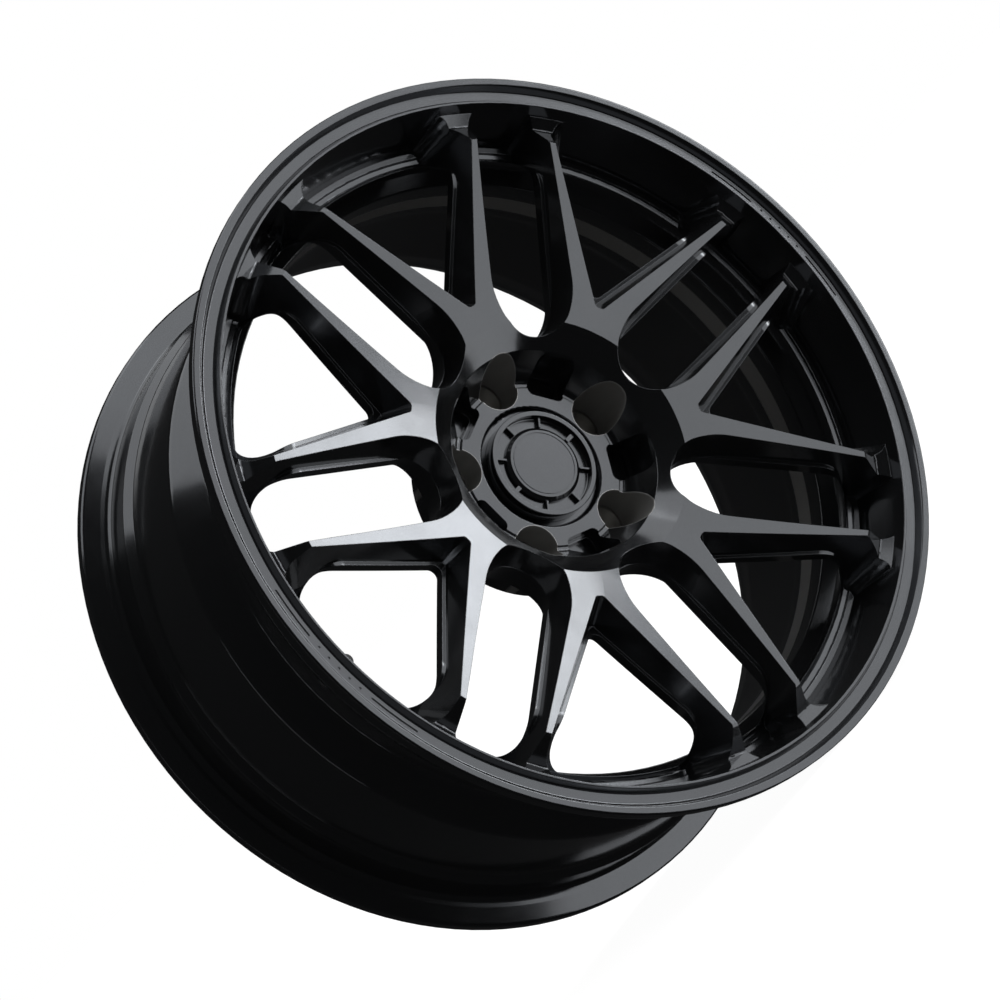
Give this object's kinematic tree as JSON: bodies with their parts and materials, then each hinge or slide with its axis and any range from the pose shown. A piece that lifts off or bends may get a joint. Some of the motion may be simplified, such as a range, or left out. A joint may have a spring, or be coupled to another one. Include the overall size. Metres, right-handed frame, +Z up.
{
  "type": "forged racing wheel rim",
  "caption": "Forged two-piece car wheel with a stepped street lip, slender Y spokes, a deep dish, open lug pockets, a clip-in centre cap and a clamp-in tyre valve.",
  "frame": {"origin": "centre of the bounding box: on the axle, halfway between the two flange faces", "axes": "+Y along the axle, from the street face towards the car; +Z up; the valve lies towards -X"},
  "size_m": [0.4969, 0.229, 0.497],
  "materials": {
    "forged_aluminium_black": "satin black paint over forged aluminium",
    "seat_steel": "plated, satin",
    "cap_paint": "satin black",
    "badge_face": "gloss black",
    "spring_steel": "plated wire",
    "valve_metal": "satin",
    "valve_brass": "machined",
    "valve_rubber": "matt",
    "valve_cap_plastic": "matt black"
  },
  "bodies": {
    "wheel": {"rim_barrel": "forged_aluminium_black", "spoked_centre": "forged_aluminium_black", "lug_seat_1": "seat_steel", "lug_seat_2": "seat_steel", "lug_seat_3": "seat_steel", "lug_seat_4": "seat_steel", "lug_seat_5": "seat_steel", "valve_stem": "valve_metal", "valve_grommet": "valve_rubber", "valve_washer": "valve_metal", "valve_nut": "valve_metal", "valve_core_body": "valve_brass", "valve_core_seal": "valve_rubber", "valve_core_spring": "spring_steel"},
    "centre_cap": {"cap_shell": "cap_paint", "cap_badge": "badge_face", "cap_spring_ring": "spring_steel"},
    "valve_pin": {"valve_core_pin": "valve_brass", "valve_core_cup": "valve_rubber"},
    "valve_cap_lift": {"valve_cap_seal": "valve_rubber"},
    "valve_cap_turned": {"valve_cap": "valve_cap_plastic"}
  },
  "joints": [
    {"name": "cap_pull", "type": "slide", "parent": "wheel", "child": "centre_cap", "axis": [0, -1, 0], "range_m": [0, 0.03]},
    {"name": "valve_core_press", "type": "slide", "parent": "wheel", "child": "valve_pin", "axis": [0, 1, 0], "range_m": [0, 0.001], "stiffness_N_per_m": 600, "springref_m": -0.001, "deforming": ["valve_core_spring"]},
    {"name": "valve_cap_unscrew", "type": "slide", "parent": "wheel", "child": "valve_cap_lift", "axis": [0, -1, 0], "range_m": [0, 0.00476]},
    {"name": "valve_cap_turn", "type": "hinge", "parent": "valve_cap_lift", "child": "valve_cap_turned", "pos_m": [-0.2165, -0.0805, 0], "axis": [0, -1, 0], "range_deg": [0, 2160]}
  ],
  "couplings": [
    {"joint": "valve_cap_turn", "follows": "valve_cap_unscrew", "rad_per_m": 7913.3}
  ]
}
